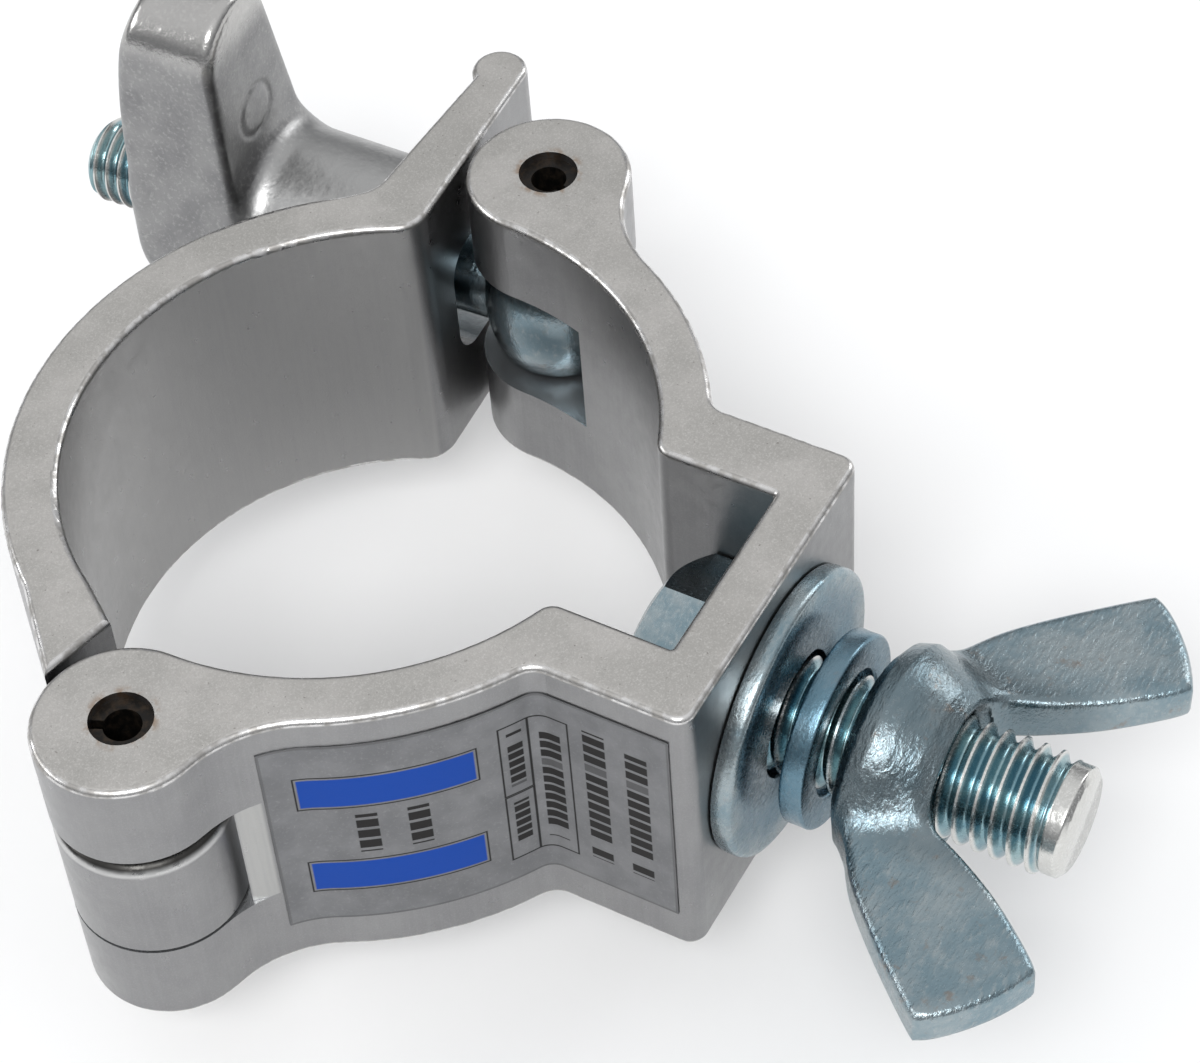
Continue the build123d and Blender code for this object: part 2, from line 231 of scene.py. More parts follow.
def polygon(x, y, points):
    """Signed distance to a closed polygon."""
    best = np.full(x.shape, 1e9)
    inside = np.zeros(x.shape, bool)
    count = len(points)
    for i in range(count):
        (ax, ay), (bx, by) = points[i], points[(i + 1) % count]
        ex, ey = bx - ax, by - ay
        t = np.clip(((x - ax) * ex + (y - ay) * ey) / (ex * ex + ey * ey), 0, 1)
        best = np.minimum(best, np.hypot(x - ax - t * ex, y - ay - t * ey))
        crosses = (ay > y) != (by > y)
        if ey != 0:
            inside ^= crosses & (x < ax + (y - ay) * ex / ey)
    return np.where(inside, -best, best)


def spline(points, steps=6):
    """A smooth closed outline through some points."""
    out = []
    count = len(points)
    for i in range(count):
        p0, p1, p2, p3 = (np.array(points[(i + k) % count], float) for k in (-1, 0, 1, 2))
        for j in range(steps):
            t = j / steps
            out.append(tuple(0.5 * (
                2 * p1 + (p2 - p0) * t + (2 * p0 - 5 * p1 + 4 * p2 - p3) * t**2
                + (3 * p1 - p0 - 3 * p2 + p3) * t**3)))
    return out


def surface_net(name, field, low, high, step, sharp=40.0):
    """A closed quad mesh of the surface where field(x, y, z) is 0. Inside is negative."""
    axes = [np.arange(a, b + step, step) for a, b in zip(low, high)]
    grid = np.meshgrid(*axes, indexing="ij")
    d = field(*grid)
    size = np.array(d.shape)
    inside = d < 0
    corners = [(i, j, k) for i in (0, 1) for j in (0, 1) for k in (0, 1)]

    def part(a, c):
        return a[tuple(slice(o, s - 1 + o) for o, s in zip(c, size))]

    count = sum(part(inside, c).astype(int) for c in corners)
    active = (count > 0) & (count < 8)
    cell = np.argwhere(active)
    index = np.full(active.shape, -1)
    index[active] = np.arange(len(cell))
    total, hits = np.zeros((len(cell), 3)), np.zeros(len(cell))
    for c in corners:
        for axis in range(3):
            if c[axis]:
                continue
            e = list(c)
            e[axis] = 1
            da, db = part(d, c)[active], part(d, e)[active]
            cut = (da < 0) != (db < 0)
            share = np.where(cut, da / np.where(cut, da - db, 1), 0)
            point = np.tile(np.array(c, float), (len(cell), 1))
            point[:, axis] += share
            total[cut] += point[cut]
            hits[cut] += 1
    where = cell + total / hits[:, None]
    verts = np.array(low) + where * step
    # the points are moved onto the surface, by a short step each time
    h = step * 0.2
    most, least_slope = 0.3 * step, 0.2
    for _ in range(3):
        x, y, z = verts.T
        value = field(x, y, z)
        slope = np.stack([
            (field(x + h, y, z) - field(x - h, y, z)),
            (field(x, y + h, z) - field(x, y - h, z)),
            (field(x, y, z + h) - field(x, y, z - h)),
        ], 1) / (2 * h)
        steepness = np.maximum((slope**2).sum(1), least_slope)
        verts -= np.clip(value / steepness, -most, most)[:, None] * slope
    faces = []
    for axis in range(3):
        b, c = (axis + 1) % 3, (axis + 2) % 3
        lower = [slice(1, s - 1) for s in size]
        lower[axis] = slice(0, size[axis] - 1)
        upper = list(lower)
        upper[axis] = slice(1, size[axis])
        one, two = inside[tuple(lower)], inside[tuple(upper)]
        start = np.argwhere(one != two)
        shift = np.ones(3, int)
        shift[axis] = 0
        start = start + shift
        solid_low = inside[tuple(start.T)]
        quad = []
        for ob, oc in ((-1, -1), (0, -1), (0, 0), (-1, 0)):
            at = start.copy()
            at[:, b] += ob
            at[:, c] += oc
            quad.append(index[tuple(at.T)])
        quad = np.stack(quad, 1)
        quad[~solid_low] = quad[~solid_low][:, ::-1]
        faces.append(quad)
    faces = np.concatenate(faces)
    return new_mesh(name, [Vector(v) for v in verts], faces.tolist(), sharp)


# ---- node helpers ------------------------------------------------------------------------------
class Shade:
    """A material and short names for the nodes that its pattern is made of.

    Places and distances are in millimetres.
    """

    def __init__(self, name):
        self.mat = bpy.data.materials.new(name)
        self.mat.use_nodes = True
        self.tree = self.mat.node_tree
        self.bsdf = self.tree.nodes["Principled BSDF"]
        coords = self.tree.nodes.new("ShaderNodeTexCoord")
        self.uv, self.normal = coords.outputs["UV"], coords.outputs["Normal"]
        self.place = self.vector("MULTIPLY", coords.outputs["Object"], (1000.0, 1000.0, 1000.0))

    def put(self, socket, value):
        if isinstance(value, bpy.types.NodeSocket):
            self.tree.links.new(value, socket)
        else:
            if hasattr(socket.default_value, "__len__") and len(socket.default_value) == 4:
                value = (*value[:3], 1.0)
            socket.default_value = value

    def vector(self, operation, a, b):
        node = self.tree.nodes.new("ShaderNodeVectorMath")
        node.operation = operation
        self.put(node.inputs[0], a)
        self.put(node.inputs[1], b)
        return node.outputs[1 if operation in ("LENGTH", "DOT_PRODUCT") else 0]

    def math(self, operation, a, b=0.0):
        node = self.tree.nodes.new("ShaderNodeMath")
        node.operation = operation
        self.put(node.inputs[0], a)
        self.put(node.inputs[1], b)
        return node.outputs[0]

    def times(self, a, b):
        return self.math("MULTIPLY", a, b)

    def length(self, value):
        return self.vector("LENGTH", value, (0.0, 0.0, 0.0))

    def from_axis(self, centre):
        """Distance from a line through centre along Z."""
        away = self.vector("SUBTRACT", self.place, centre)
        return self.length(self.vector("MULTIPLY", away, (1.0, 1.0, 0.0)))

    def split(self, value):
        node = self.tree.nodes.new("ShaderNodeSeparateXYZ")
        self.put(node.inputs[0], value)
        return node.outputs[0], node.outputs[1], node.outputs[2]

    def noise(self, scale, detail=3.0, roughness=0.55, at=None, stretch=None):
        """Noise from 0 to 1 with scale features per millimetre."""
        at = self.place if at is None else at
        if stretch is not None:
            at = self.vector("MULTIPLY", at, stretch)
        node = self.tree.nodes.new("ShaderNodeTexNoise")
        self.put(node.inputs["Vector"], at)
        node.inputs["Scale"].default_value = scale
        node.inputs["Detail"].default_value = detail
        node.inputs["Roughness"].default_value = roughness
        return node.outputs[0]

    def step(self, value, low, high, to_low=0.0, to_high=1.0):
        """value from low to high, mapped smoothly to to_low to to_high."""
        node = self.tree.nodes.new("ShaderNodeMapRange")
        node.interpolation_type = "SMOOTHSTEP"
        for i, v in enumerate((value, low, high, to_low, to_high)):
            self.put(node.inputs[i], v)
        return node.outputs[0]

    def mix(self, share, a, b):
        node = self.tree.nodes.new("ShaderNodeMix")
        node.data_type = "RGBA"
        self.put(node.inputs[0], share)
        self.put(node.inputs[6], a)
        self.put(node.inputs[7], b)
        return node.outputs[2]

    def mix_value(self, share, a, b):
        node = self.tree.nodes.new("ShaderNodeMix")
        self.put(node.inputs[0], share)
        self.put(node.inputs[2], a)
        self.put(node.inputs[3], b)
        return node.outputs[0]

    def bump(self, height, distance, strength, under=None):
        node = self.tree.nodes.new("ShaderNodeBump")
        self.put(node.inputs["Height"], height)
        node.inputs["Distance"].default_value = distance * MM
        node.inputs["Strength"].default_value = strength
        if under is not None:
            self.put(node.inputs["Normal"], under)
        return node.outputs[0]

    def finish(self, color, roughness, normal=None, metallic=1.0):
        self.put(self.bsdf.inputs["Base Color"], color)
        self.put(self.bsdf.inputs["Roughness"], roughness)
        self.put(self.bsdf.inputs["Metallic"], metallic)
        if normal is not None:
            self.put(self.bsdf.inputs["Normal"], normal)
        return self.mat


def paint(obj, mat):
    obj.data.materials.clear()
    obj.data.materials.append(mat)


# ---- materials ---------------------------------------------------------------------------------
def extruded_aluminium(name, pins, inside, reach, gap=None):
    """Matt cut faces, satin sides drawn along Z, and bright tumbled rims.

    inside is the centre, radius and color of an area painted lighter, a painted light, within reach of
    the middle plane.
    gap is a centre and a height above which the narrow gap round it is painted near black, a painted
    shadow.
    """
    s = Shade(name)
    upright = s.math("ABSOLUTE", s.split(s.normal)[2])
    cut = s.step(upright, 0.93, 0.985)
    rim = s.times(s.step(upright, 0.06, 0.3), s.math("SUBTRACT", 1.0, cut))
    # milled faces in the fork slots, well inside the two outer cut faces
    z = s.split(s.place)[2]
    off_middle = s.math("ABSOLUTE", z)
    inner = s.step(off_middle, 9.0, 10.0, 1.0, 0.0)
    milled = s.times(cut, inner)
    grain = s.noise(3.2, 5.0, 0.75)
    grit = s.noise(7.0, 2.0, 0.6)
    cloud = s.noise(0.16, 4.0, 0.6)
    patch = s.noise(0.7, 3.0, 0.6)
    streak = s.noise(2.4, 3.0, 0.6, stretch=(1.0, 1.0, 0.05))
    specks = s.step(s.noise(2.9, 2.0, 0.5), 0.69, 0.74)
    dings = s.step(s.noise(1.1, 2.0, 0.5), 0.68, 0.76)
    face = s.mix(s.step(cloud, 0.35, 0.7), (0.44, 0.43, 0.41), (0.53, 0.515, 0.495))
    face = s.mix(s.step(grain, 0.40, 0.68), s.mix(0.85, (0.27, 0.265, 0.255), face), face)
    face = s.mix(s.times(s.step(grit, 0.45, 0.75), 0.55), face, (0.64, 0.63, 0.61))
    face = s.mix(s.times(specks, 0.55), face, (0.17, 0.155, 0.14))
    side = s.mix(s.step(cloud, 0.3, 0.72), (0.25, 0.25, 0.255), (0.29, 0.29, 0.292))
    # painted light: the sides within the inside area are painted lighter
    centre, radius, bright = inside
    near = s.step(s.from_axis(centre), radius + 0.3, radius + 0.6, 1.0, 0.0)
    near = s.times(near, s.step(off_middle, reach - 0.1, reach, 1.0, 0.0))
    side = s.mix(near, side, bright)
    side = s.mix(s.times(s.step(streak, 0.4, 0.7), 0.22), side, (0.33, 0.33, 0.335))
    side = s.mix(s.times(s.step(grit, 0.45, 0.8), 0.30), side, (0.40, 0.395, 0.39))
    side = s.mix(s.times(s.step(grain, 0.60, 0.75), 0.35), side, (0.20, 0.195, 0.19))
    edge = s.mix(s.step(patch, 0.38, 0.62), (0.66, 0.655, 0.65), (0.36, 0.35, 0.335))
    edge = s.mix(inner, edge, (0.52, 0.52, 0.515))
    color = s.mix(cut, s.mix(rim, side, edge), s.mix(milled, face, (0.42, 0.43, 0.44)))
    # painted shadow: the narrow gap above the tongue is painted near black
    if gap is not None:
        centre, height = gap
        near = s.times(s.step(s.from_axis(centre), 7.3, 7.8, 1.0, 0.0), inner)
        gap_shadow = s.times(near, s.step(z, height, height + 0.3))
        color = s.mix(gap_shadow, color, (0.045, 0.044, 0.042))
    # a faint rust stain round each pin's hole
    for pin in pins:
        near = s.step(s.from_axis(tuple(pin)), 2.45, 3.3, 1.0, 0.0)
        rust = s.times(near, s.step(s.noise(0.9, 3.0), 0.45, 0.65))
        color = s.mix(s.times(rust, 0.6), color, (0.26, 0.15, 0.07))
    rough_side = s.mix_value(s.step(patch, 0.25, 0.75), 0.27, 0.36)
    rough_face = s.mix_value(s.step(grain, 0.3, 0.7), 0.48, 0.62)
    rough_rim = s.mix_value(s.step(patch, 0.3, 0.7), 0.20, 0.42)
    rough_cut = s.mix_value(milled, rough_face, 0.13)
    rough = s.mix_value(cut, s.mix_value(rim, rough_side, rough_rim), rough_cut)
    skin = s.mix_value(cut, s.mix_value(rim, s.times(grit, 0.5), patch), grain)
    depth = s.bump(skin, 0.05, 0.6)
    depth = s.bump(s.math("SUBTRACT", 1.0, dings), 0.02, 0.5, depth)
    return s.finish(color, rough, depth, s.mix_value(cut, 1.0, 0.86))


def zinc_plate(name, rough_low, rough_high, wrinkle, scale=1.0, stain=0.4, thread=None, core_shade=None):
    """Bluish bright zinc.

    thread is a rod's start, direction, length, radius and plain length, its crests painted light as a
    painted highlight and its valleys dark as painted shade; core is the radius, color and share of a
    middle round the fixing bolt that is painted darker, a painted shade.
    """
    s = Shade(name)
    cloud = s.noise(0.22 * scale, 4.0, 0.6)
    fine = s.noise(2.6 * scale, 5.0, 0.7)
    skew = s.noise(1.0 * scale, 4.0, 0.65, stretch=(1.0, 2.8, 1.7))
    color = s.mix(s.step(cloud, 0.35, 0.65), (0.20, 0.28, 0.32), (0.32, 0.375, 0.395))
    color = s.mix(s.times(s.step(skew, 0.50, 0.70), 0.40), color, (0.43, 0.46, 0.46))
    color = s.mix(s.times(s.step(fine, 0.52, 0.75), 0.22), color, (0.52, 0.54, 0.54))
    # painted shade: the middle round the fixing bolt is painted darker and bluer
    if core_shade is not None:
        reach, core_shade_color, share = core_shade
        out = s.length(s.vector("MULTIPLY", s.place, (1.0, 0.0, 1.0)))
        color = s.mix(s.step(out, reach - 0.5, reach + 2.5, share, 0.0), color, core_shade_color)
    brown = s.times(s.step(s.noise(0.5, 4.0, 0.7), 0.58, 0.72), stain)
    color = s.mix(brown, color, (0.25, 0.20, 0.165))
    if thread is not None:
        start, along, length, major, plain = thread
        away = s.vector("SUBTRACT", s.place, tuple(start))
        out = s.length(s.vector("CROSS_PRODUCT", away, tuple(along)))
        ridge = s.step(out, major - 0.50, major - 0.18)
        ahead = s.vector("DOT_PRODUCT", away, tuple(along))
        rod = s.times(s.step(out, major + 0.1, major + 0.3, 1.0, 0.0), s.step(ahead, plain, plain + 0.5))
        # painted shade in the thread's valleys and a painted highlight on its crests; the tip's last 2
        # mm takes the crest colour too
        valley_shade = s.mix(s.step(cloud, 0.35, 0.65), (0.15, 0.275, 0.33), (0.30, 0.43, 0.45))
        crest_highlight = s.mix(s.times(s.step(fine, 0.4, 0.7), 0.6), (0.60, 0.60, 0.58), (0.80, 0.80, 0.78))
        tip = s.step(ahead, length - 2.2, length - 1.7)
        color = s.mix(rod, color, s.mix(s.math("MAXIMUM", ridge, tip), valley_shade, crest_highlight))
    rough = s.mix_value(s.step(fine, 0.3, 0.7), rough_low, rough_high)
    depth = s.bump(skew, wrinkle, 0.8)
    depth = s.bump(fine, 0.01, 0.4, depth)
    return s.finish(color, rough, depth)


def cast_aluminium(name):
    """Satin casting with an orange-peel skin; the boss and the smoother lobe ends are painted lighter, a
    painted highlight.
    """
    s = Shade(name)
    _, y, z = s.split(s.place)
    tip = s.step(s.math("ABSOLUTE", z), 20.5, 24.5)
    boss = s.step(y, 24.0, 27.5, 1.0, 0.0)
    cloud = s.noise(0.22, 4.0, 0.6)
    fine = s.noise(2.4, 4.0, 0.7)
    peel = s.noise(1.0, 2.0, 0.5)
    color = s.mix(s.step(cloud, 0.3, 0.7), (0.215, 0.215, 0.22), (0.295, 0.295, 0.295))
    # painted highlight: the boss is painted lighter
    color = s.mix(s.times(boss, 0.7), color, (0.46, 0.46, 0.455))
    color = s.mix(s.times(s.step(fine, 0.48, 0.72), 0.5), color, (0.50, 0.50, 0.49))
    # painted highlight: the lobe ends are painted lighter
    color = s.mix(s.times(tip, 0.6), color, (0.62, 0.61, 0.59))
    rough = s.mix_value(tip, s.mix_value(s.step(fine, 0.3, 0.7), 0.30, 0.44), 0.20)
    depth = s.bump(peel, 0.07, 0.7)
    depth = s.bump(fine, 0.03, 0.6, depth)
    return s.finish(color, rough, depth)


def black_oxide(name):
    s = Shade(name)
    patch = s.noise(1.2, 4.0, 0.65)
    color = s.mix(s.step(patch, 0.4, 0.75), (0.012, 0.011, 0.010), (0.045, 0.032, 0.022))
    rough = s.mix_value(s.step(patch, 0.3, 0.7), 0.30, 0.55)
    return s.finish(color, rough, s.bump(s.noise(3.0, 3.0), 0.03, 0.6), 0.7)


def label_film(name, length, height):
    """Silver film with two plain blue bands, blank ruled boxes and rows of dashes."""
    s = Shade(name)
    u, v, _ = s.split(s.uv)
    u = s.times(u, length)
    v = s.times(v, height)

    def inside(u0, u1, v0, v1, soft=0.05):
        mask = None
        for value, low, high in ((u, u0, u1), (v, v0, v1)):
            band = s.times(s.step(value, low - soft, low + soft),
                           s.step(value, high - soft, high + soft, 1.0, 0.0))
            mask = band if mask is None else s.times(mask, band)
        return mask

    def frame_box(u0, u1, v0, v1, line=0.16):
        inner = inside(u0 + line, u1 - line, v0 + line, v1 - line)
        return s.times(inside(u0, u1, v0, v1), s.math("SUBTRACT", 1.0, inner))

    def dashes(u0, u1, v0, v1, pitch):
        cell = s.math("FLOOR", s.math("DIVIDE", v, pitch))
        node = s.tree.nodes.new("ShaderNodeTexWhiteNoise")
        node.noise_dimensions = "1D"
        s.put(node.inputs["W"], cell)
        part = s.math("FRACT", s.math("DIVIDE", v, pitch))
        fill = s.step(part, 0.72, 0.78, 1.0, 0.0)
        kept = s.step(node.outputs[0], 0.10, 0.12)
        return s.times(inside(u0, u1, v0, v1), s.times(fill, kept))

    def any_of(masks):
        total = masks[0]
        for mask in masks[1:]:
            total = s.math("MAXIMUM", total, mask)
        return total

    fine = s.noise(3.4, 4.0, 0.7)
    cloud = s.noise(0.3, 3.0, 0.6)
    color = s.mix(s.step(cloud, 0.3, 0.7), (0.175, 0.178, 0.185), (0.225, 0.228, 0.235))
    color = s.mix(s.times(s.step(fine, 0.5, 0.72), 0.4), color, (0.33, 0.33, 0.335))
    # two blue bands with a field of dashes between them, a block of boxes, and two rows beside it
    left, right, margin, band, rim = 2.6, 16.2, 4.0, 3.4, 0.3
    low_edges = (margin, height - margin - band)
    inset = margin + band + 1.2
    box_end = height - 2.6
    boxes = ((18.2, 20.8, 2.6, 10.8), (18.2, 20.8, 10.8, box_end), (20.7, 24.2, 2.6, box_end))
    rows = (
        (18.9, 20.2, 3.6, 9.8, 0.95), (18.9, 20.2, 11.8, 18.4, 0.95), (21.6, 23.4, 4.0, 17.5, 1.1),
        (25.4, 27.3, 3.2, box_end, 1.2), (29.0, 30.9, 3.2, height - 3.4, 1.2),
        (6.6, 8.3, inset, height - inset, 1.3), (10.6, 12.3, inset, height - inset, 1.3),
    )
    blue = any_of([inside(left, right, low, low + band, 0.08) for low in low_edges])
    ink = any_of(
        [frame_box(left - rim, right + rim, low - rim, low + band + rim, 0.14) for low in low_edges]
        + [frame_box(*box) for box in boxes] + [dashes(*row) for row in rows])
    hem = 0.22
    border = s.math("SUBTRACT", 1.0, inside(hem, length - hem, hem, height - hem))
    color = s.mix(s.times(border, 0.5), color, (0.09, 0.09, 0.09))
    color = s.mix(blue, color, (0.003, 0.055, 0.34))
    color = s.mix(ink, color, (0.014, 0.013, 0.013))
    printed = s.math("MAXIMUM", blue, ink)
    rough = s.mix_value(printed, s.mix_value(s.step(fine, 0.3, 0.7), 0.34, 0.46), 0.50)
    metallic = s.mix_value(printed, 0.9, 0.1)
    s.bsdf.inputs["Specular IOR Level"].default_value = 0.15
    return s.finish(color, rough, s.bump(fine, 0.015, 0.5), metallic)


def pale_floor(name):
    s = Shade(name)
    cloud = s.noise(0.004, 2.0, 0.5)
    color = s.mix(cloud, (0.90, 0.90, 0.90), (0.92, 0.92, 0.92))
    return s.finish(color, 0.75, None, 0.0)


# ---- fixing bolt: hexagon head and M10 thread ----------------------------------------------------
def fixing_bolt():
    seat = Vector((0, HEAD_SEAT_Y, 0))
    apothem, height, flat_r = 8.3, 6.4, 7.7
    chamfer_slope, under_edge, under_share = 0.55, 0.25, 0.985
    into_head, point = 1.0, 2.2
    first, second = axis_frame(OUT)
    # the first vertex points along +Z, so that two flats face the pocket's walls
    turn = math.atan2(UP.dot(second), UP.dot(first))
    segments = 96
    verts, faces = [], []
    rows = 4
    for i in range(segments):
        a = math.tau * i / segments
        r = apothem / math.cos((a % (math.pi / 3)) - math.pi / 6)
        side = first * math.cos(a + turn) + second * math.sin(a + turn)
        shoulder = height - (r - flat_r) * chamfer_slope
        for out, t in ((r * under_share, 0.0), (r, under_edge), (r, shoulder), (flat_r, height)):
            verts.append(seat - OUT * t + side * out)
    for i in range(segments):
        n = (i + 1) % segments
        for j in range(rows - 1):
            faces.append((i * rows + j, n * rows + j, n * rows + j + 1, i * rows + j + 1))
    faces.append([i * rows for i in range(segments)])
    faces.append([i * rows + rows - 1 for i in range(segments)][::-1])
    head = new_mesh("fixing_bolt_threaded", verts, faces, 25.0)
    rod = threaded_rod("rod", seat, OUT, -into_head, BOLT_LENGTH, M10, point)
    return union(head, rod)


# ---- swing bolt: barrel eye, reduced shank and thread ----------------------------------------------
def swing_bolt():
    # one half of the barrel's outline, from beside its middle to the rim of the bore
    belly = [(6.4, 1.5), (6.15, 3.0), (5.75, 4.4), (5.1, 5.2), (4.2, 5.5), (2.9, 5.45), (2.57, 5.1)]
    profile = [(r, -t) for r, t in reversed(belly)] + [(6.48, 0.0)] + belly
    eye = lathe("swing_bolt_threaded", profile, SWING_PIN, UP, 96, 60.0)
    into_eye, point, shank_r = 3.3, 0.9, 3.85
    rod = threaded_rod(
        "rod", SWING_PIN, ALONG_SWING, into_eye, SWING_LENGTH, M8, point, SHANK_END, shank_r)
    return union(eye, rod)


# ---- clamp wing nut: aluminium casting with two thick lobes --------------------------------------
def clamp_wing_nut():
    tilt = math.radians(6.5)
    across = UP.cross(ALONG_SWING)  # square to the bolt, in the XY plane
    hub_r, tip_r, tip_at, half_span = 7.3, 5.2, 21.2, 26.4
    front, back, droop, draft = 27.6, 38.85, 3.2, 0.02  # the lobes, along the bolt
    boss_r, boss_draft, boss_end = 7.95, 0.03, 37.6
    bore_r, countersink_r = 4.12, 4.9
    lobe_edge, boss_edge, fillet = 1.0, 0.7, 2.8
    mark_r, mark_at, mark_depth, mark_width, mark_end = 2.4, (0.1, 13.6), 0.16, 0.28, 31

    def local(x, y, z):
        dx, dy = x - SWING_PIN.x, y - SWING_PIN.y
        u = dx * ALONG_SWING.x + dy * ALONG_SWING.y
        a = dx * across.x + dy * across.y
        v = a * math.cos(tilt) - z * math.sin(tilt)
        w = a * math.sin(tilt) + z * math.cos(tilt)
        return u, v, w

    def field(x, y, z):
        u, v, w = local(x, y, z)
        around = np.hypot(v, w)
        reach = np.clip(np.abs(w) / half_span, 0, 1.1)
        outline = uneven_capsule(v, np.abs(w), hub_r, tip_r, tip_at)
        depth = np.maximum(front - u, u - (back - droop * reach**3))
        lobes = rounded_both(outline + draft * (u - front), depth, lobe_edge)
        side = around - (boss_r + boss_draft * (u - SHANK_END))
        boss = rounded_both(side, np.maximum(SHANK_END + 0.05 - u, u - boss_end), boss_edge)
        d = soft_min(lobes, boss, fillet)
        # ejector mark on the upper lobe's foot side
        ring = np.hypot(v - mark_at[0], w - mark_at[1]) - mark_r
        d = d + mark_depth * np.exp(-((ring / mark_width) ** 2)) * (u < mark_end)
        bore = np.maximum(bore_r - around, countersink_r - around - np.abs(u - SHANK_END))
        return np.maximum(d, bore)

    low = (SWING_PIN.x - 13.2, 11.6, -27.4)
    high = (SWING_PIN.x + 11.6, 39.6, 27.4)
    return surface_net("clamp_wing_nut_cast", field, low, high, 0.3)


# ---- fixing wing nut: forged hub and two flat wings ----------------------------------------------
def fixing_wing_nut():
    tilt = math.radians(2.0)
    face_y, end_y = 46.95, 54.15
    hub_line = [
        (0, face_y), (7.3, face_y), (8.6, 47.9), (9.0, 49.2), (8.6, 50.6), (7.4, 52.9),
        (6.4, end_y), (0, end_y),
    ]
    wing_line = spline([
        (4.5, 49.2), (8.6, 48.9), (12.9, 51.0), (17.1, 54.7), (22.2, 60.2), (22.6, 61.4), (21.0, 63.4),
        (18.4, 65.5), (15.6, 67.0), (14.6, 66.9), (12.3, 64.4), (9.9, 61.2), (7.7, 57.2), (6.3, 53.6),
        (4.0, 52.0),
    ])
    half_thick, taper, swell, swell_reach = 1.97, 0.02, 0.5, 1.6
    bore_r, countersink_r = 5.12, 5.9
    hub_skin, wing_edge, fillet = 0.05, 0.75, 2.6

    def field(x, y, z):
        down = -y
        xr = x * math.cos(tilt) - z * math.sin(tilt)
        zr = x * math.sin(tilt) + z * math.cos(tilt)
        around = np.hypot(x, z)
        hub = polygon(around, down, hub_line)
        out = np.abs(xr)
        # a wing thins towards its tip and swells into the hub
        thick = half_thick - taper * np.clip(out - 8, 0, 12)
        thick = thick + swell * np.exp(-np.clip(out - 7, 0, 9) / swell_reach)
        wing = rounded_both(polygon(out, down, wing_line), np.abs(zr) - thick, wing_edge)
        d = soft_min(hub - hub_skin, wing, fillet)
        bore = np.maximum(bore_r - around, countersink_r - around - np.abs(down - end_y))
        return np.maximum(d, bore)

    low, high = (-23.6, -68.4, -10.2), (23.6, -45.9, 10.2)
    return surface_net("fixing_wing_nut_forged", field, low, high, 0.28)


# ---- washers ------------------------------------------------------------------------------------
def flat_washer():
    out, hole = 12.08, 5.4
    near, far = 38.80, 40.6  # its two faces, below the origin
    profile = [
        (hole, near + 0.15), (hole + 0.25, near + 0.02), (out - 0.5, near), (out - 0.1, near + 0.15),
        (out, near + 0.5), (out, far - 0.5), (out - 0.12, far - 0.15), (out - 0.5, far),
        (hole + 0.35, far), (hole, far - 0.25),
    ]
    return lathe("flat_washer_punched", profile, Vector((0, 0, 0)), OUT, 128, 50.0)


def spring_washer():
    """A square-section coil of one turn, its two ends sprung slightly apart."""
    inner, outer, thick, start_y, lift = 5.3, 8.12, 2.0, 42.68, 0.04
    corner = 0.28
    gap, slant = 0.055, 0.30  # the split's half width and the lean of its faces, as angles
    section = []
    for cr, ct, start in ((outer, thick, 0), (inner, thick, 90), (inner, 0, 180), (outer, 0, 270)):
        sr = cr - corner if cr == outer else cr + corner
        st = ct - corner if ct == thick else ct + corner
        for k in range(4):
            a = math.radians(start + 30 * k)
            section.append((sr + corner * math.cos(a), st + corner * math.sin(a)))
    steps, count = 120, len(section)
    verts, faces = [], []
    for i in range(steps + 1):
        share = i / steps
        for r, t in section:
            a = gap + (math.tau - 2 * gap) * share - slant * (t / thick - 0.5)
            verts.append(Vector((r * math.cos(a), -(start_y + t + lift * share), r * math.sin(a))))
    for i in range(steps):
        for k in range(count):
            n = (k + 1) % count
            faces.append((i * count + k, i * count + n, (i + 1) * count + n, (i + 1) * count + k))
    faces.append(list(range(count)))
    faces.append([steps * count + k for k in range(count)][::-1])
    return new_mesh("spring_washer_coil", verts, faces, 50.0)


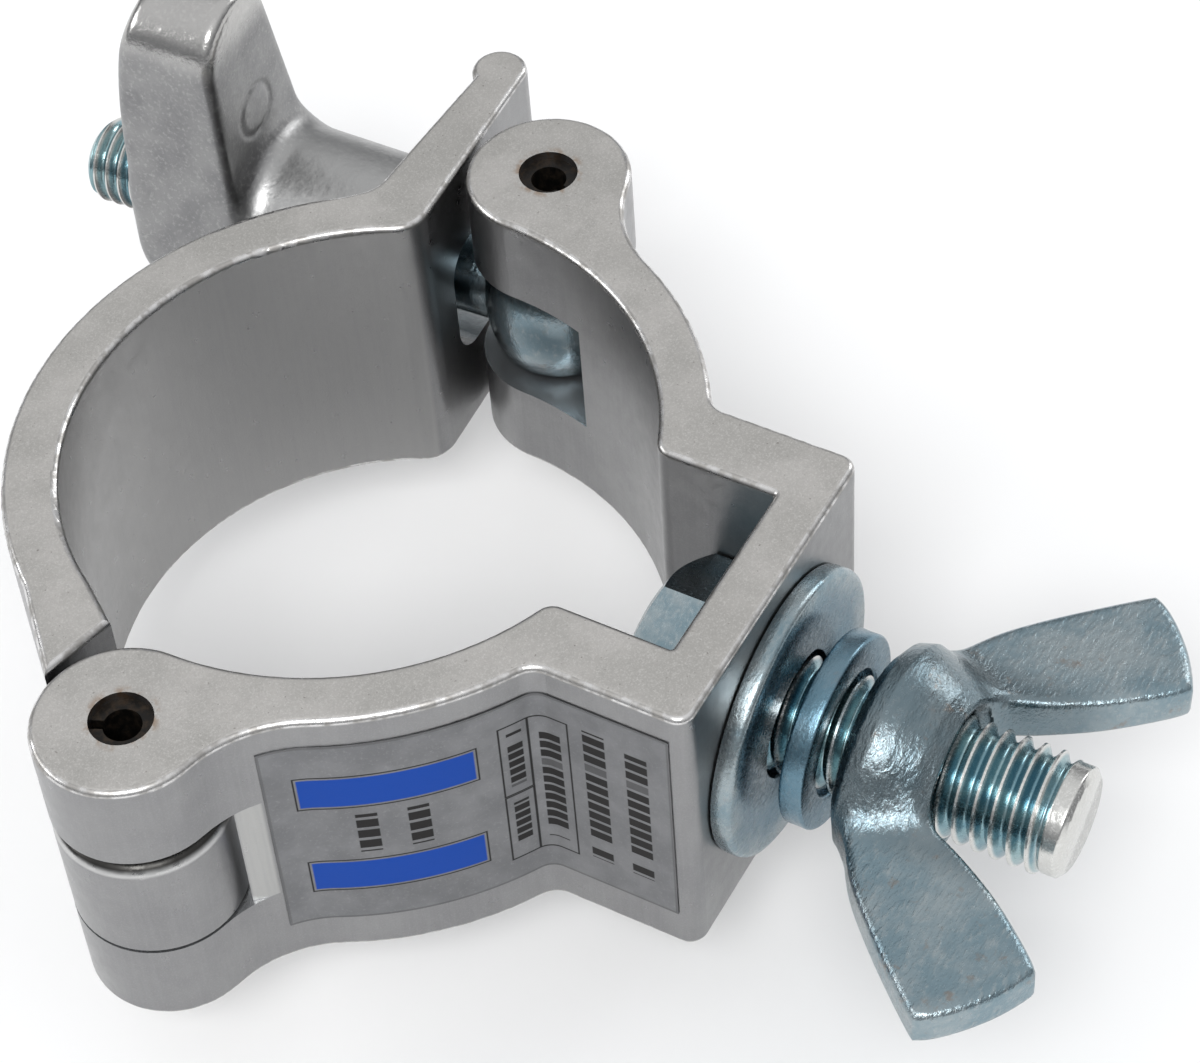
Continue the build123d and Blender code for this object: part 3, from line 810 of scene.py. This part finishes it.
# ---- label: thin film over the arm and down the side of the base ----------------------------------
def rating_label():
    arm, arm_r = Vector((0, 0.7)), 30.25
    blend_r, blend_at = 11.0, math.radians(-152.2)
    base_x, corner_r, low_y = -14.6, 2.0, -37.2
    film, clearance, z_low, z_high = 0.11, 0.02, -10.4, 11.6
    start = math.radians(-159.5)
    # the film starts on the hollow blend beside the hinge, where a ray from the arm's centre meets it
    blend = arm + (arm_r + blend_r) * heading(blend_at)
    ray = heading(start)
    off = arm - blend
    half = ray.dot(off)
    reach = -half - math.sqrt(half * half - off.length_squared + blend_r**2)
    first = (arm + ray * reach - blend) / blend_r
    back = math.atan2(first.y, first.x)
    ahead = math.atan2(-math.sin(blend_at), -math.cos(blend_at))
    # a small hollow corner leads from the arm to the base's side
    corner_x = base_x - corner_r
    corner = Vector((corner_x, arm.y - math.sqrt((arm_r + corner_r) ** 2 - corner_x**2)))
    turn = math.atan2(corner.y - arm.y, corner.x)
    # (point, outward normal) along the saddle's outline: blend, arm, corner and the base's side
    path = []
    for k in range(8):
        a = back + (ahead - back) * k / 8
        n = heading(a)
        path.append((blend + n * blend_r, -n))
    for k in range(49):
        a = blend_at + (turn - blend_at) * k / 48
        n = heading(a)
        path.append((arm + n * arm_r, n))
    for k in range(1, 13):
        a = (turn + math.pi) * (1 - k / 12)
        n = heading(a)
        path.append((corner + n * corner_r, -n))
    for k in range(1, 13):
        path.append((Vector((base_x, corner.y + (low_y - corner.y) * k / 12)), Vector((-1, 0))))
    run, runs = 0.0, [0.0]
    for (p, _), (q, _) in zip(path, path[1:]):
        run += (q - p).length
        runs.append(run)
    rows = 12
    bm = bmesh.new()
    layer = bm.loops.layers.uv.new("film")
    # an under and an upper sheet, with each vertex's place on the film from 0 to 1
    sheets, where = [], {}
    for lift in (clearance, film):
        sheet = []
        for (p, n), u in zip(path, runs):
            line = []
            for j in range(rows + 1):
                q = p + n * lift
                v = bm.verts.new((q.x, q.y, z_low + (z_high - z_low) * j / rows))
                where[v] = (u / run, j / rows)
                line.append(v)
            sheet.append(line)
        sheets.append(sheet)
    under, over = sheets
    last = len(path) - 1
    for i in range(last):
        for j in range(rows):
            bm.faces.new((over[i][j], over[i + 1][j], over[i + 1][j + 1], over[i][j + 1]))
            bm.faces.new((under[i][j], under[i][j + 1], under[i + 1][j + 1], under[i + 1][j]))
        bm.faces.new((under[i][0], under[i + 1][0], over[i + 1][0], over[i][0]))
        bm.faces.new((under[i][rows], over[i][rows], over[i + 1][rows], under[i + 1][rows]))
    for j in range(rows):
        bm.faces.new((under[0][j], over[0][j], over[0][j + 1], under[0][j + 1]))
        bm.faces.new((under[last][j], under[last][j + 1], over[last][j + 1], over[last][j]))
    for face in bm.faces:
        for loop in face.loops:
            loop[layer].uv = where[loop.vert]
    return finish_mesh(bm, "rating_label_film", 40.0), run, z_high - z_low


# ---- build ----------------------------------------------------------------------------------------
def place(obj, body, node, mat):
    paint(obj, mat)
    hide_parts(node)
    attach(obj, body)


# the saddle's area painted lighter is the flat that the slot's cutter left beside the hinge, a painted
# highlight
run_out_highlight = ((-30.2, -9.35, 0.0), 0.6, (0.44, 0.44, 0.43))
# the jaw's is its seat, painted lighter against the shade inside it
seat = ((-1.08, -3.48, 0.0), 24.5, (0.375, 0.372, 0.37))
# painted shadow in the gap above the jaw's tongue
tongue_gap_shadow = (tuple(HINGE_PIN), 4.25)
pins = (HINGE_PIN, SWING_PIN)
paint(nodes["saddle"], extruded_aluminium("extruded_aluminium", pins, run_out_highlight, 5.9))
paint(nodes["hinged_jaw"], extruded_aluminium("extruded_aluminium_jaw", (), seat, 20.0, tongue_gap_shadow))
oxide = black_oxide("black_oxide")
for pin in ("hinge_pin", "swing_pin"):
    paint(nodes[pin], oxide)
    bevel(nodes[pin], 0.2, 35.0)
for extrusion in ("saddle", "hinged_jaw"):
    bevel(nodes[extrusion], 0.3, 60.0)

no_tip = 60.0  # a length past the rod's end, which leaves its tip blue
fixing_thread = (Vector((0, HEAD_SEAT_Y, 0)), OUT, BOLT_LENGTH, M10[0], 0.0)
swing_thread = (SWING_PIN, ALONG_SWING, no_tip, M8[0], SHANK_END)
stud = zinc_plate("zinc_thread", 0.16, 0.30, 0.02, 1.4, 0.2, fixing_thread)
shank = zinc_plate("zinc_swing_bolt", 0.12, 0.26, 0.05, 0.8, 0.3, swing_thread)
# the wing nut's hub and the washers' middles are painted darker, a painted shade
forged = zinc_plate("zinc_forged", 0.14, 0.30, 0.16, 0.8, 0.6, core_shade=(9.3, (0.13, 0.17, 0.19), 0.65))
rolled = zinc_plate("zinc_washer", 0.18, 0.34, 0.05, 1.2, 0.2, core_shade=(9.4, (0.08, 0.18, 0.25), 0.7))
cast = cast_aluminium("cast_aluminium")
place(fixing_bolt(), "saddle_body", "fixing_bolt", stud)
place(swing_bolt(), "swing_bolt_body", "swing_bolt", shank)
place(clamp_wing_nut(), "clamp_nut_body", "clamp_wing_nut", cast)
place(fixing_wing_nut(), "fixing_nut_body", "fixing_wing_nut", forged)
place(flat_washer(), "saddle_body", "flat_washer", rolled)
place(spring_washer(), "spring_washer_body", "spring_washer", rolled)
film, film_length, film_height = rating_label()
printed = label_film("label_film", film_length, film_height)
place(film, "saddle_body", "rating_label", printed)

# ---- floor, light and camera --------------------------------------------------------------------
FLOOR_HALF = 2.0
FLOOR_GAP = 0.0001
floor_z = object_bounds()[0].z - FLOOR_GAP
floor_mesh = bpy.data.meshes.new("floor")
square = ((-1, -1), (1, -1), (1, 1), (-1, 1))
corners = [(x * FLOOR_HALF, y * FLOOR_HALF, floor_z) for x, y in square]
floor_mesh.from_pydata(corners, [], [(0, 1, 2, 3)])
floor = bpy.data.objects.new("floor", floor_mesh)
bpy.context.scene.collection.objects.link(floor)
paint(floor, pale_floor("floor"))

world = bpy.data.worlds.new("studio")
bpy.context.scene.world = world
world.use_nodes = True
tree = world.node_tree
direction = tree.nodes.new("ShaderNodeTexCoord")
split = tree.nodes.new("ShaderNodeSeparateXYZ")
ramp = tree.nodes.new("ShaderNodeValToRGB")
tree.links.new(direction.outputs["Generated"], split.inputs[0])
tree.links.new(split.outputs[2], ramp.inputs[0])
tree.links.new(ramp.outputs[0], tree.nodes["Background"].inputs["Color"])
low, high = ramp.color_ramp.elements
low.position, low.color = 0.0, (0.16, 0.165, 0.175, 1)
high.position, high.color = 0.8, (0.90, 0.905, 0.915, 1)
ramp.color_ramp.elements.new(0.35).color = (0.46, 0.465, 0.475, 1)
tree.nodes["Background"].inputs["Strength"].default_value = 1.0


def area_light(name, at, aim, size, power):
    data = bpy.data.lights.new(name, "AREA")
    data.shape, data.size, data.size_y = "RECTANGLE", size[0], size[1]
    data.energy = power
    obj = bpy.data.objects.new(name, data)
    bpy.context.scene.collection.objects.link(obj)
    obj.location = at
    obj.rotation_euler = (Vector(aim) - Vector(at)).to_track_quat("-Z", "Y").to_euler()


middle = (0.0, -0.01, 0.0)
area_light("key_box", (-0.55, -0.25, 0.75), middle, (0.45, 0.3), 4.6)
area_light("side_box", (0.75, -0.30, 0.30), middle, (0.22, 0.4), 1.3)
area_light("back_box", (-0.35, 0.75, 0.40), middle, (0.6, 0.25), 1.9)

CAMERA_AT = Vector((-146.74, -115.99, 212.76)) * MM
CAMERA_AIM = Vector((9.81, -17.42, 0.0)) * MM
CAMERA_ROLL = math.radians(-4.728)
SENSOR, LENS = 36.0, 102.965
camera_data = bpy.data.cameras.new("camera")
camera = bpy.data.objects.new("camera", camera_data)
bpy.context.scene.collection.objects.link(camera)
camera_data.sensor_width, camera_data.lens = SENSOR, LENS
camera_data.clip_start, camera_data.clip_end = 0.01, 20.0
forward = (CAMERA_AIM - CAMERA_AT).normalized()
level = forward.cross(UP).normalized()
upward = level.cross(forward)
right = level * math.cos(CAMERA_ROLL) + upward * math.sin(CAMERA_ROLL)
upward = right.cross(forward)
turned = Matrix((right, upward, -forward)).transposed().to_4x4()
camera.matrix_world = Matrix.Translation(CAMERA_AT) @ turned
bpy.context.scene.camera = camera
bpy.context.scene.view_settings.view_transform = "Standard"
